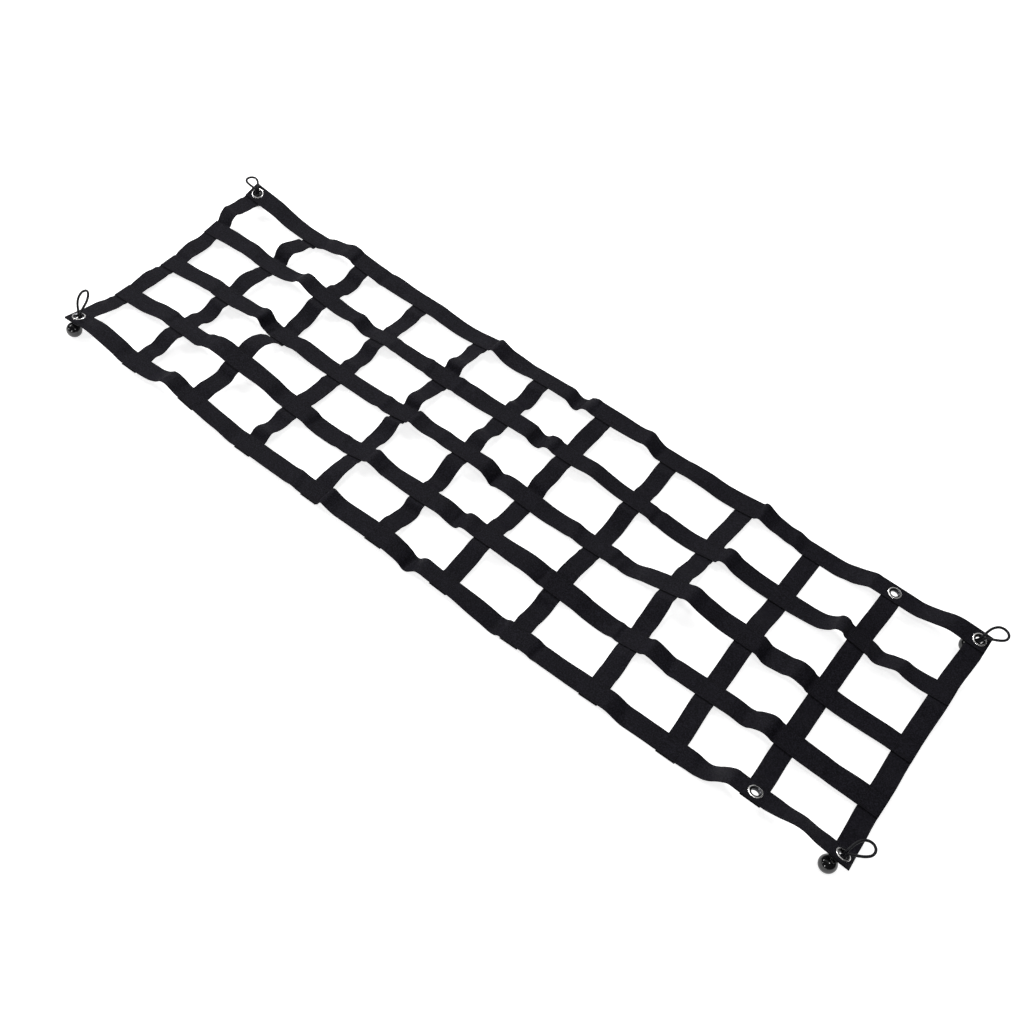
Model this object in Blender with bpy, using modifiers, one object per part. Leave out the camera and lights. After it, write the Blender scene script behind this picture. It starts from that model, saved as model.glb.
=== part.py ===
"""Tailgate net of webbing, lying loosely on a flat surface.

Five long straps are sewn on top of twelve cross straps. A metal eyelet goes through both straps at
each corner and holds a ball bungee: a ball under the corner, whose doubled cord comes up through the
eyelet and ends in a loop. Two more eyelets, one strap in from the right-hand end, are empty.

Metres, +Z up. X runs along the net, Y across it. The long strap with y < 0 is the near one.
"""
import math
from collections import namedtuple

import bmesh
import bpy
from mathutils import Matrix, Vector

MM = 0.001

# ---- driving dimensions -------------------------------------------------------------------------
LONG_PITCH = 140.0 * MM       # from one cross strap to the next, along the net
CROSS_PITCH = 111.5 * MM      # from one long strap to the next, across the net
LONG_STRAP_WIDTH = 35.2 * MM
CROSS_STRAP_WIDTH = 33.4 * MM
WEBBING_THICKNESS = 1.5 * MM
CLEARANCE = 0.3 * MM          # between pieces that are sewn, crimped or pushed together
CROSS_STRAP_OVERHANG = 1.0 * MM   # how far a cross strap's cut ends stand past the outer straps

EYELET_HOLE_RADIUS = 6.0 * MM
EYELET_WALL = 0.6 * MM
EYELET_FLANGE_RADIUS = 12.0 * MM
EYELET_FLANGE_HEIGHT = 1.4 * MM
EYELET_FIT = 0.45 * MM        # between an eyelet's barrel and the hole punched for it

BALL_RADIUS = 14.0 * MM
BALL_MOUTH_RADIUS = 4.8 * MM  # flat round the hole that the cord goes into
CORD_RADIUS = 2.0 * MM
CORD_SPACING = 2.2 * MM       # half the distance between the two strands of a bungee
CORD_STRAIGHT = 2.0 * MM      # how far a strand runs straight out of its ball
CORD_BELOW_SEAM = 1.0 * MM    # a strand runs through the eyelet from this far under the seam
CORD_ABOVE_SEAM = 2.0 * MM    # to this far over it

# ---- how finely the curved shapes are divided ------------------------------------------------------
LONG_BAY_STEPS = 11
CROSS_BAY_STEPS = 7
HOLE_SIDES = 24
TURNED_STEPS = 16
BALL_ARC_STEPS = 9
CORD_STEP = 5.5 * MM

# ---- how the net lies ------------------------------------------------------------------------------
# A crossing is sewn flat, so both straps are plane there. Lifts are in millimetres above the height
# of a crossing that lies on the surface. Shifts are in millimetres along the net (cross straps) or
# across it (long straps), from the even grid. Rolls are in degrees, + with the far edge higher.
# Numbers at the ends of names count the long straps, and 1 is the near one.
CrossStrap = namedtuple(
    "CrossStrap", "shift_near shift_middle shift_far lift_1 lift_2 lift_3 lift_4 lift_5 "
                  "roll_1 roll_2 roll_3 roll_4 roll_5")
CROSS_STRAPS = (
    CrossStrap(-1, -3, -5, 30, 8, 6, 16, 33, -12, 0, 2, 9, 14),
    CrossStrap(3, 3, 4, 18, 22, 19, 15, 8, -1, -6, -2, -3, 1),
    CrossStrap(3, 0, -3, 29, 36, 9, 23, 22, -8, 15, -6, -3, 6),
    CrossStrap(-6, -3, 0, 11, 15, 8, 13, 15, -2, 0, -4, -10, 3),
    CrossStrap(4, 4, 3, 12, 13, 16, 13, 14, 2, -2, -2, 6, -2),
    CrossStrap(3, 1, 1, 19, 14, 22, 16, 13, 7, 0, -8, 2, -8),
    CrossStrap(-3, -4, -4, 15, 20, 7, 18, 20, -11, -3, 4, -5, 7),
    CrossStrap(-2, -3, -4, 8, 14, 4, 10, 9, 1, 13, -5, -9, 0),
    CrossStrap(7, 2, 8, 8, 8, 30, 6, 12, 0, -2, -3, 0, 9),
    CrossStrap(7, 2, 2, 2, 11, 25, 4, 0, 1, -1, 7, 1, 0),
    CrossStrap(0, -3, 1, 37, 22, 12, 22, 20, -16, 10, 4, -11, -3),
    CrossStrap(2, 0, 5, 33, 15, 8, 22, 34, -26, 13, -1, -4, 4),
)

# Where each long strap runs across the net: its shift at the left end, the middle and the right end.
LongStrap = namedtuple("LongStrap", "shift_left shift_middle shift_right")
LONG_STRAPS = (
    LongStrap(2, 0, 3),
    LongStrap(0, 0, 0),
    LongStrap(-1, -2, -1),
    LongStrap(0, 0, 0),
    LongStrap(3, 5, 4),
)

# Folds of the long straps between crossings: place along the net in pitches, and each strap's lift.
LongFold = namedtuple("LongFold", "place lift_1 lift_2 lift_3 lift_4 lift_5")
LONG_FOLDS = (
    LongFold(0.33, 35, 12, 11, 20, 25),
    LongFold(0.70, 26, 23, 19, 20, 11),
    LongFold(1.33, 21, 21, 22, 18, 17),
    LongFold(1.50, 30, 30, 24, 26, 22),
    LongFold(1.66, 44, 40, 33, 36, 29),
    LongFold(1.79, 37, 40, 16, 29, 28),
    LongFold(2.30, 21, 32, 14, 17, 18),
    LongFold(2.55, 16, 27, 10, 17, 17),
    LongFold(2.76, 10, 17, 8, 8, 15),
    LongFold(3.22, 11, 12, 8, 17, 15),
    LongFold(3.38, 12, 3, 8, 14, 12),
    LongFold(3.70, 12, 3, 9, 13, 9),
    LongFold(4.22, 24, 24, 25, 16, 22),
    LongFold(4.43, 17, 12, 20, 15, 12),
    LongFold(4.72, 18, 12, 20, 14, 10),
    LongFold(5.30, 15, 17, 23, 17, 14),
    LongFold(5.51, 4, 11, 8, 9, 6),
    LongFold(5.69, 17, 23, 11, 20, 19),
    LongFold(6.33, 10, 20, 3, 21, 20),
    LongFold(6.55, 5, 21, 4, 16, 22),
    LongFold(6.76, -1, 17, 3, 11, 12),
    LongFold(7.25, 9, 11, 8, 9, 11),
    LongFold(7.43, 5, 5, 2, 3, 11),
    LongFold(7.72, 5, 2, 17, 0, 8),
    LongFold(8.24, 10, 20, 38, 17, 20),
    LongFold(8.45, 3, 12, 32, 10, 10),
    LongFold(8.72, 1, 9, 25, 5, 7),
    LongFold(9.30, 4, 13, 17, 5, 0),
    LongFold(9.50, 6, 10, 18, 8, 4),
    LongFold(9.63, 24, 22, 22, 18, 13),
    LongFold(9.75, 38, 27, 22, 32, 21),
    LongFold(10.30, 39, 18, 8, 15, 19),
    LongFold(10.50, 44, 15, 8, 20, 26),
    LongFold(10.76, 37, 16, 9, 19, 37),
)

# Folds of the cross straps between crossings: which strap (1 is the left end), place across the net
# in pitches from the near long strap, and lift.
CrossFold = namedtuple("CrossFold", "strap place lift")
CROSS_FOLDS = (
    CrossFold(1, 0.45, 19), CrossFold(1, 1.50, 10), CrossFold(1, 2.45, 11), CrossFold(1, 2.74, 9),
    CrossFold(1, 3.33, 38), CrossFold(1, 3.55, 32),
    CrossFold(2, 0.40, 16), CrossFold(2, 0.70, 25), CrossFold(2, 1.48, 10), CrossFold(2, 2.42, 25),
    CrossFold(2, 3.33, 31), CrossFold(2, 3.68, 19),
    CrossFold(3, 0.32, 26), CrossFold(3, 0.68, 22), CrossFold(3, 1.40, 45), CrossFold(3, 1.65, 33),
    CrossFold(3, 2.42, 11), CrossFold(3, 3.35, 14), CrossFold(3, 3.60, 10),
    CrossFold(4, 0.33, 17), CrossFold(4, 0.55, 11), CrossFold(4, 1.30, 10), CrossFold(4, 1.50, 10),
    CrossFold(4, 2.50, 4), CrossFold(4, 3.55, 8),
    CrossFold(5, 0.52, 19), CrossFold(5, 1.33, 9), CrossFold(5, 1.52, 12), CrossFold(5, 1.77, 23),
    CrossFold(5, 2.28, 27), CrossFold(5, 2.55, 18), CrossFold(5, 3.30, 26), CrossFold(5, 3.55, 18),
    CrossFold(6, 0.36, 13), CrossFold(6, 0.70, 3), CrossFold(6, 1.28, 6), CrossFold(6, 1.70, 26),
    CrossFold(6, 2.38, 27), CrossFold(6, 2.70, 12), CrossFold(6, 3.50, 6),
    CrossFold(7, 0.50, 15), CrossFold(7, 1.36, 10), CrossFold(7, 1.55, 7), CrossFold(7, 2.30, 18),
    CrossFold(7, 2.50, 17), CrossFold(7, 2.72, 21), CrossFold(7, 3.40, 19),
    CrossFold(8, 0.60, 3), CrossFold(8, 1.35, 18), CrossFold(8, 2.35, 1), CrossFold(8, 3.42, 1),
    CrossFold(9, 0.50, 4), CrossFold(9, 3.50, 8),
    CrossFold(10, 0.50, 8), CrossFold(10, 3.50, 5),
    CrossFold(11, 0.50, 24), CrossFold(11, 3.50, 17),
    CrossFold(12, 0.50, 20), CrossFold(12, 2.50, 12),
)

# Roll of each long strap in the middle of its eleven bays, in degrees, left to right.
BAY_ROLLS = (
    (-1, -6, -6, 0, 3, -3, -1, -4, 2, -14, -32),
    (2, 2, 1, 0, -10, 5, 8, 7, -4, -1, 6),
    (-3, -9, 0, -1, -8, 1, -2, -10, 4, 7, 2),
    (4, -9, -8, -7, 10, 0, -9, 1, 1, -5, -14),
    (8, 3, 12, 0, 5, -5, 0, 5, -1, 2, -6),
)

# Lean of each cross strap in the middle of its four bays, in degrees, near to far. + has the
# right-hand edge higher.
BAY_LEANS = (
    (-2, -7, -9, -5),
    (1, -3, -9, -10),
    (-7, 1, -11, -8),
    (10, -1, 6, 8),
    (13, 4, 10, 20),
    (-4, 0, 11, -3),
    (-7, -3, -8, -12),
    (0, -4, -5, 0),
    (3, 5, 10, 10),
    (3, -3, 1, -3),
    (-2, -6, -8, -5),
    (-4, -2, 1, 2),
)

# ---- eyelets and ball bungees --------------------------------------------------------------------------
# Column and row of a crossing count from 0, from the left end and from the near long strap.
OpenEyelet = namedtuple("OpenEyelet", "side column row")
OPEN_EYELETS = (
    OpenEyelet("near", 10, 0),
    OpenEyelet("far", 10, 4),
)

# An eyelet's flange in section, from the hole outwards: distance from the hole's edge as a share of
# the flange's width, and height above the strap as a share of the flange's height.
FlangePoint = namedtuple("FlangePoint", "outward height")
FLANGE_SECTION = (
    FlangePoint(0, 0.2),
    FlangePoint(0.09, 0.8),
    FlangePoint(0.30, 1),
    FlangePoint(0.76, 0.75),
    FlangePoint(1, 0.2),
    FlangePoint(0.95, 0),
)

# Each bungee: the crossing it is at, its ball's centre from that crossing, how far off the eyelet's
# axis its strands bear on the edge of the hole, the heading of its loop (degrees from +X), the loop's
# reach and width, and its shape. Distances are in millimetres.
Bungee = namedtuple("Bungee", "corner column row ball_x ball_y bearing heading reach width shape")
BUNGEES = (
    Bungee("near_left", 0, 0, 1, -16, 2.7, 80, 27, 22, "standing"),
    Bungee("far_left", 0, 4, -8, 5, 1.0, 157, 39, 20, "lying"),
    Bungee("near_right", 11, 0, -9.5, -13, 2.6, 49, 45, 23, "lying"),
    Bungee("far_right", 11, 4, -9.5, -2.5, 2.4, 47, 45, 24, "lying"),
)

# Half of a loop from the eyelet's centre: how far along the heading as a share of its reach, how far
# to the side as a share of its half width, and height in millimetres. The other half mirrors it.
LoopPoint = namedtuple("LoopPoint", "along aside height")
LOOP_SHAPES = {
    "lying": (
        LoopPoint(0.12, 0.22, 8.7),
        LoopPoint(0.22, 0.42, 10.5),
        LoopPoint(0.38, 0.74, 12.3),
        LoopPoint(0.57, 0.96, 12.6),
        LoopPoint(0.76, 0.98, 12.2),
        LoopPoint(0.90, 0.74, 11.6),
        LoopPoint(0.98, 0.37, 11.1),
        LoopPoint(1.00, 0, 11),
    ),
    "standing": (
        LoopPoint(0.11, 0.26, 9),
        LoopPoint(0.20, 0.58, 18),
        LoopPoint(0.35, 0.88, 27),
        LoopPoint(0.58, 1.00, 35.5),
        LoopPoint(0.80, 0.80, 42),
        LoopPoint(0.95, 0.42, 45.8),
        LoopPoint(1.00, 0, 47),
    ),
}

# ---- sizes that follow --------------------------------------------------------------------------------
N_COLUMNS = len(CROSS_STRAPS)
N_ROWS = len(LONG_STRAPS)
LONG_HALF_WIDTH = LONG_STRAP_WIDTH / 2
CROSS_HALF_WIDTH = CROSS_STRAP_WIDTH / 2
WEBBING_HOLE_RADIUS = EYELET_HOLE_RADIUS + EYELET_WALL + EYELET_FIT
PATCH_REACH = LONG_HALF_WIDTH + 1.5 * MM  # a strap is plane this far from the middle of a crossing
SEAM_HALF = (WEBBING_THICKNESS + CLEARANCE) / 2   # from the seam's plane to a strap's middle
REST_HEIGHT = WEBBING_THICKNESS + CLEARANCE / 2   # seam's height where a crossing lies on the surface
STACK_HALF = WEBBING_THICKNESS + CLEARANCE / 2    # from the seam's plane to a strap's outer face

Crossing = namedtuple("Crossing", "x y z lean roll")   # lean and roll are slopes along X and Y


# ---- curves ------------------------------------------------------------------------------------------
def natural_slopes(knots):
    """Slope at each (position, value) knot: zero at a crest or a hollow, between the chords elsewhere."""
    chords = [(b[1] - a[1]) / (b[0] - a[0]) for a, b in zip(knots, knots[1:])]
    slopes = [chords[0]]
    for before, after in zip(chords, chords[1:]):
        same_way = before * after > 0
        slopes.append(2 * before * after / (before + after) if same_way else 0.0)
    slopes.append(chords[-1])
    return slopes


def value_and_slope(knots, at):
    """Value and slope at a position on the smooth curve through (position, value, slope) knots."""
    left, right = knots[0], knots[1]
    for left, right in zip(knots, knots[1:]):
        if at <= right[0]:
            break
    span = right[0] - left[0]
    t = (at - left[0]) / span
    value = ((2 * t**3 - 3 * t**2 + 1) * left[1] + (t**3 - 2 * t**2 + t) * span * left[2]
             + (3 * t**2 - 2 * t**3) * right[1] + (t**3 - t**2) * span * right[2])
    slope = ((6 * t**2 - 6 * t) * (left[1] - right[1]) / span
             + (3 * t**2 - 4 * t + 1) * left[2] + (3 * t**2 - 2 * t) * right[2])
    return value, slope


def flattened(knots, centres):
    """The knots with each one at a crossing's centre opened out into a straight run across the patch."""
    opened = []
    for at, value, slope in knots:
        if at in centres:
            opened.append((at - PATCH_REACH, value - slope * PATCH_REACH, slope))
            opened.append((at + PATCH_REACH, value + slope * PATCH_REACH, slope))
        else:
            opened.append((at, value, slope))
    return opened


def stations(centres, bay_steps, first, last):
    """Positions of a strap's sections: the patches' edges, even steps between them, and the two ends."""
    places = [first]
    for left, right in zip(centres, centres[1:]):
        start = left + PATCH_REACH
        end = right - PATCH_REACH
        places += [start + (end - start) * step / bay_steps for step in range(bay_steps + 1)]
    places.append(last)
    return places


# ---- where the straps run ----------------------------------------------------------------------------
def bowed(start, middle, end, fraction):
    """Shift in metres at a fraction of a strap's length, from the shifts at its ends and middle."""
    way = 2 * fraction - 1
    tip = end if way > 0 else start
    return (middle + (tip - middle) * way**2) * MM


def crossing_x(column, row):
    strap = CROSS_STRAPS[column]
    shift = bowed(strap.shift_near, strap.shift_middle, strap.shift_far, row / (N_ROWS - 1))
    return column * LONG_PITCH + shift


def crossing_y(column, row):
    strap = LONG_STRAPS[row]
    shift = bowed(strap.shift_left, strap.shift_middle, strap.shift_right, column / (N_COLUMNS - 1))
    return row * CROSS_PITCH + shift


def crossing_z(column, row):
    return REST_HEIGHT + getattr(CROSS_STRAPS[column], f"lift_{row + 1}") * MM


def crossing_roll(column, row):
    return math.tan(math.radians(getattr(CROSS_STRAPS[column], f"roll_{row + 1}")))


def long_knots(row):
    """A long strap's profile, as (position, value, slope): height of the seam's plane along X."""
    points = [(crossing_x(column, row), crossing_z(column, row)) for column in range(N_COLUMNS)]
    points += [(fold.place * LONG_PITCH, REST_HEIGHT + getattr(fold, f"lift_{row + 1}") * MM)
               for fold in LONG_FOLDS]
    points.sort()
    return [(at, value, slope) for (at, value), slope in zip(points, natural_slopes(points))]


def cross_knots(column):
    """A cross strap's profile, as (position, value, slope): height of the seam's plane along Y."""
    rolls = {crossing_y(column, row): crossing_roll(column, row) for row in range(N_ROWS)}
    points = [(crossing_y(column, row), crossing_z(column, row)) for row in range(N_ROWS)]
    points += [(fold.place * CROSS_PITCH, REST_HEIGHT + fold.lift * MM)
               for fold in CROSS_FOLDS if fold.strap == column + 1]
    points.sort()
    return [(at, value, rolls.get(at, slope))
            for (at, value), slope in zip(points, natural_slopes(points))]


LONG_PROFILES = [long_knots(row) for row in range(N_ROWS)]
CROSS_PROFILES = [cross_knots(column) for column in range(N_COLUMNS)]


def crossing(column, row):
    x = crossing_x(column, row)
    lean = next(slope for at, _, slope in LONG_PROFILES[row] if at == x)
    return Crossing(x, crossing_y(column, row), crossing_z(column, row), lean,
                    crossing_roll(column, row))


CROSSINGS = [[crossing(column, row) for row in range(N_ROWS)] for column in range(N_COLUMNS)]


def plane_normal(place):
    return Vector((-place.lean, -place.roll, 1)).normalized()


def seam_frame(place):
    """Matrix whose XY plane is the crossing's seam, with its origin at the crossing's centre."""
    normal = plane_normal(place)
    along = Vector((1, 0, place.lean)).normalized()
    across = normal.cross(along)
    frame = Matrix((along, across, normal)).transposed().to_4x4()
    frame.translation = (place.x, place.y, place.z)
    return frame


# ---- building blocks -----------------------------------------------------------------------------------
def new_object(name, mesh, material=None, collection=None, parent=None):
    thing = bpy.data.objects.new(name, mesh)
    if material is not None:
        mesh.materials.append(material)
    (collection or NET).objects.link(thing)
    thing.parent = parent or ORIGIN
    return thing


def principled(name, colour, roughness, metallic=0.0):
    material = bpy.data.materials.new(name)
    material.use_nodes = True
    shader = material.node_tree.nodes["Principled BSDF"]
    shader.inputs["Base Color"].default_value = (*colour, 1)
    shader.inputs["Roughness"].default_value = roughness
    shader.inputs["Metallic"].default_value = metallic
    return material


def ribbon(name, edges, material):
    """A strap of webbing from its two edges, each a list of points: an open strip with Solidify."""
    n_sections = len(edges[0])
    shape = bmesh.new()
    bmesh.ops.create_grid(shape, x_segments=n_sections - 1, y_segments=1, size=0.5)
    for vert in shape.verts:
        section = round((vert.co.x + 0.5) * (n_sections - 1))
        side = 1 if vert.co.y > 0 else 0
        vert.co = edges[side][section]
    mesh = bpy.data.meshes.new(name)
    shape.to_mesh(mesh)
    shape.free()
    strap = new_object(name, mesh, material)
    thickness = strap.modifiers.new("thickness", "SOLIDIFY")
    thickness.thickness = WEBBING_THICKNESS
    thickness.offset = 0
    thickness.use_even_offset = True
    return strap


def punch(strap, cutter):
    hole = strap.modifiers.new("eyelet hole", "BOOLEAN")
    hole.operation = "DIFFERENCE"
    hole.object = cutter


def turned(name, profile, material):
    """A round piece: a profile in the XZ plane with a Screw modifier."""
    mesh = bpy.data.meshes.new(name)
    closed = profile[0][0] > 0
    n_points = len(profile)
    links = [(i, i + 1) for i in range(n_points - 1)]
    if closed:
        links.append((n_points - 1, 0))
    mesh.from_pydata([(radius, 0, height) for radius, height in profile], links, [])
    piece = new_object(name, mesh, material)
    screw = piece.modifiers.new("turn", "SCREW")
    screw.steps = TURNED_STEPS
    screw.render_steps = TURNED_STEPS
    screw.use_merge_vertices = True
    screw.merge_threshold = 0.01 * MM
    screw.use_smooth_shade = True
    return piece


def smooth_route(points, step):
    """Points about one step apart on a Catmull-Rom curve through the given ones."""
    ends = [2 * points[0] - points[1]] + points + [2 * points[-1] - points[-2]]
    route = []
    for before, start, end, after in zip(ends, ends[1:], ends[2:], ends[3:]):
        pieces = max(1, round((end - start).length / step))
        for piece in range(pieces):
            t = piece / pieces
            route.append(0.5 * (2 * start + (end - before) * t
                                + (2 * before - 5 * start + 4 * end - after) * t**2
                                + (3 * start - before - 3 * end + after) * t**3))
    return route + [points[-1]]


def cord(name, points, material):
    curve = bpy.data.curves.new(name, "CURVE")
    curve.dimensions = "3D"
    curve.bevel_depth = CORD_RADIUS
    curve.bevel_resolution = 2
    curve.use_fill_caps = True
    spline = curve.splines.new("POLY")
    spline.points.add(len(points) - 1)
    for knot, point in zip(spline.points, points):
        knot.co = (*point, 1)
    return new_object(name, curve, material)


# ---- straps ------------------------------------------------------------------------------------------
def tilts(centres, slopes, bay_degrees):
    """A strap's sideways tilt in radians, as knots: at each crossing and in the middle of each bay."""
    at_crossings = [(at, math.atan(slope), 0.0) for at, slope in zip(centres, slopes)]
    in_bays = [((left + right) / 2, math.radians(tilt), 0.0)
               for left, right, tilt in zip(centres, centres[1:], bay_degrees)]
    return sorted(at_crossings + in_bays)


def long_strap(row, material):
    places = [CROSSINGS[column][row] for column in range(N_COLUMNS)]
    centres = [place.x for place in places]
    heights = flattened(LONG_PROFILES[row], centres)
    rolls = flattened(tilts(centres, [place.roll for place in places], BAY_ROLLS[row]), centres)
    ways = flattened([(place.x, place.y, 0.0) for place in places], centres)
    edges = ([], [])
    first = centres[0] - CROSS_HALF_WIDTH * math.cos(math.atan(places[0].lean))
    last = centres[-1] + CROSS_HALF_WIDTH * math.cos(math.atan(places[-1].lean))
    for x in stations(centres, LONG_BAY_STEPS, first, last):
        height, slope = value_and_slope(heights, x)
        roll, _ = value_and_slope(rolls, x)
        way, _ = value_and_slope(ways, x)
        rise = SEAM_HALF * math.sqrt(1 + slope**2 + math.tan(roll)**2)
        middle = Vector((x, way, height + rise))
        half = LONG_HALF_WIDTH * Vector((0, math.cos(roll), math.sin(roll)))
        edges[0].append(middle - half)
        edges[1].append(middle + half)
    return ribbon(f"strap_long_{row + 1}", edges, material)


def cross_strap(column, material):
    places = CROSSINGS[column]
    centres = [place.y for place in places]
    heights = flattened(CROSS_PROFILES[column], centres)
    leans = flattened(tilts(centres, [place.lean for place in places], BAY_LEANS[column]), centres)
    ways = flattened([(place.y, place.x, 0.0) for place in places], centres)
    edges = ([], [])
    reach = LONG_HALF_WIDTH + CROSS_STRAP_OVERHANG
    first = centres[0] - reach * math.cos(math.atan(places[0].roll))
    last = centres[-1] + reach * math.cos(math.atan(places[-1].roll))
    for y in stations(centres, CROSS_BAY_STEPS, first, last):
        height, slope = value_and_slope(heights, y)
        lean, _ = value_and_slope(leans, y)
        way, _ = value_and_slope(ways, y)
        drop = SEAM_HALF * math.sqrt(1 + slope**2 + math.tan(lean)**2)
        middle = Vector((way, y, height - drop))
        half = CROSS_HALF_WIDTH * Vector((math.cos(lean), 0, math.sin(lean)))
        edges[0].append(middle + half)
        edges[1].append(middle - half)
    return ribbon(f"strap_cross_{column + 1:02d}", edges, material)


# ---- eyelets -----------------------------------------------------------------------------------------
def eyelet_profile():
    flange_width = EYELET_FLANGE_RADIUS - EYELET_HOLE_RADIUS
    seat = STACK_HALF + CLEARANCE
    upper = [(EYELET_HOLE_RADIUS + point.outward * flange_width,
              seat + point.height * EYELET_FLANGE_HEIGHT) for point in FLANGE_SECTION]
    upper.append((EYELET_HOLE_RADIUS + EYELET_WALL, seat))
    lower = [(radius, -height) for radius, height in reversed(upper)]
    return upper + lower


def eyelet(name, place, material):
    ring = turned(name, eyelet_profile(), material)
    ring.matrix_local = seam_frame(place)
    return ring


def hole_cutter(name, place):
    shape = bmesh.new()
    bmesh.ops.create_cone(shape, cap_ends=True, segments=HOLE_SIDES, radius1=WEBBING_HOLE_RADIUS,
                          radius2=WEBBING_HOLE_RADIUS, depth=6 * STACK_HALF)
    mesh = bpy.data.meshes.new(name)
    shape.to_mesh(mesh)
    shape.free()
    cutter = new_object(name, mesh, collection=CUTTERS)
    cutter.matrix_local = seam_frame(place)
    cutter.display_type = "WIRE"
    cutter.hide_render = True
    return cutter


# ---- ball bungees --------------------------------------------------------------------------------------
def ball_profile():
    start = math.asin(BALL_MOUTH_RADIUS / BALL_RADIUS)
    angles = [start + (math.pi - start) * step / BALL_ARC_STEPS for step in range(BALL_ARC_STEPS + 1)]
    arc = [(BALL_RADIUS * math.sin(angle), BALL_RADIUS * math.cos(angle)) for angle in angles[:-1]]
    return [(0, arc[0][1])] + arc + [(0, -BALL_RADIUS)]


def ball_place(spec):
    """Centre of a bungee's ball, and the direction from there up to its eyelet."""
    place = CROSSINGS[spec.column][spec.row]
    centre = Vector((place.x + spec.ball_x * MM, place.y + spec.ball_y * MM, BALL_RADIUS))
    return centre, (Vector((place.x, place.y, place.z)) - centre).normalized()


def bungee_ball(spec, material):
    centre, axis = ball_place(spec)
    ball = turned(f"ball_{spec.corner}", ball_profile(), material)
    turn = Vector((0, 0, 1)).rotation_difference(axis)
    ball.matrix_local = Matrix.Translation(centre) @ turn.to_matrix().to_4x4()
    return ball


def loop_route(spec):
    """A bungee's cord: out of the ball, up through the eyelet, round the loop and back the same way."""
    place = CROSSINGS[spec.column][spec.row]
    eye = Vector((place.x, place.y, place.z))
    normal = plane_normal(place)
    turn = math.radians(spec.heading)
    heading = Vector((math.cos(turn), math.sin(turn), 0))
    side = Vector((-heading.y, heading.x, 0))
    bearing = eye + (heading - normal * heading.dot(normal)).normalized() * spec.bearing * MM
    centre, axis = ball_place(spec)
    mouth = centre + axis * (math.sqrt(BALL_RADIUS**2 - BALL_MOUTH_RADIUS**2) + CLEARANCE)
    mouth_side = (side - axis * side.dot(axis)).normalized()

    half = [(mouth, mouth_side * CORD_SPACING),
            (mouth + axis * CORD_STRAIGHT, mouth_side * CORD_SPACING),
            (bearing - normal * CORD_BELOW_SEAM, side * CORD_SPACING),
            (bearing + normal * CORD_ABOVE_SEAM, side * CORD_SPACING)]
    for point in LOOP_SHAPES[spec.shape]:
        middle = eye + heading * point.along * spec.reach * MM
        middle.z += point.height * MM
        half.append((middle, side * point.aside * spec.width / 2 * MM))
    left = [middle + offset for middle, offset in half]
    right = [middle - offset for middle, offset in half[:-1]]
    return smooth_route(left + right[::-1], CORD_STEP)


# ---- the net -------------------------------------------------------------------------------------------
def centre_on_origin(pieces):
    """Moves the net so that the origin is under the middle of the straps' and eyelets' box."""
    bpy.context.view_layer.update()
    depsgraph = bpy.context.evaluated_depsgraph_get()
    corners = []
    for piece in pieces:
        solid = piece.evaluated_get(depsgraph)
        corners += [solid.matrix_world @ Vector(corner) for corner in solid.bound_box]
    middle_x = (min(c.x for c in corners) + max(c.x for c in corners)) / 2
    middle_y = (min(c.y for c in corners) + max(c.y for c in corners)) / 2
    ORIGIN.location = (-middle_x, -middle_y, 0)


for old in list(bpy.data.objects):
    bpy.data.objects.remove(old, do_unlink=True)

NET = bpy.data.collections.new("tailgate_net")
CUTTERS = bpy.data.collections.new("cutters")
bpy.context.scene.collection.children.link(NET)
bpy.context.scene.collection.children.link(CUTTERS)
ORIGIN = bpy.data.objects.new("net_origin", None)
NET.objects.link(ORIGIN)

webbing = principled("black webbing", (0.011, 0.011, 0.014), 0.85)
nickel = principled("bright nickel", (0.78, 0.77, 0.76), 0.22, 1.0)
gloss_black = principled("gloss black plastic", (0.004, 0.004, 0.005), 0.08)
bungee_black = principled("black bungee cord", (0.009, 0.009, 0.010), 0.7)

long_straps = [long_strap(row, webbing) for row in range(N_ROWS)]
cross_straps = [cross_strap(column, webbing) for column in range(N_COLUMNS)]

eyelet_sites = [(f"eyelet_{spec.corner}", spec.column, spec.row) for spec in BUNGEES]
eyelet_sites += [(f"eyelet_open_{spec.side}", spec.column, spec.row) for spec in OPEN_EYELETS]
eyelets = []
for site, column, row in eyelet_sites:
    place = CROSSINGS[column][row]
    eyelets.append(eyelet(site, place, nickel))
    cutter = hole_cutter(f"{site}_hole", place)
    punch(long_straps[row], cutter)
    punch(cross_straps[column], cutter)

for spec in BUNGEES:
    bungee_ball(spec, gloss_black)
    cord(f"loop_{spec.corner}", loop_route(spec), bungee_black)

centre_on_origin(long_straps + cross_straps + eyelets)
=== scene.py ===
"""Looks of the tailgate net: woven straps, stitching, eyelets, balls and bungee cords.

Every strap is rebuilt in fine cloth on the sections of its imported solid, so it keeps that solid's
folds. Metres, +Z up. X runs along the net, Y across it, and the floor is at z = 0.
"""
import math
from collections import namedtuple

import bmesh
import bpy
import numpy as np
from mathutils import Matrix, Vector


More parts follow.
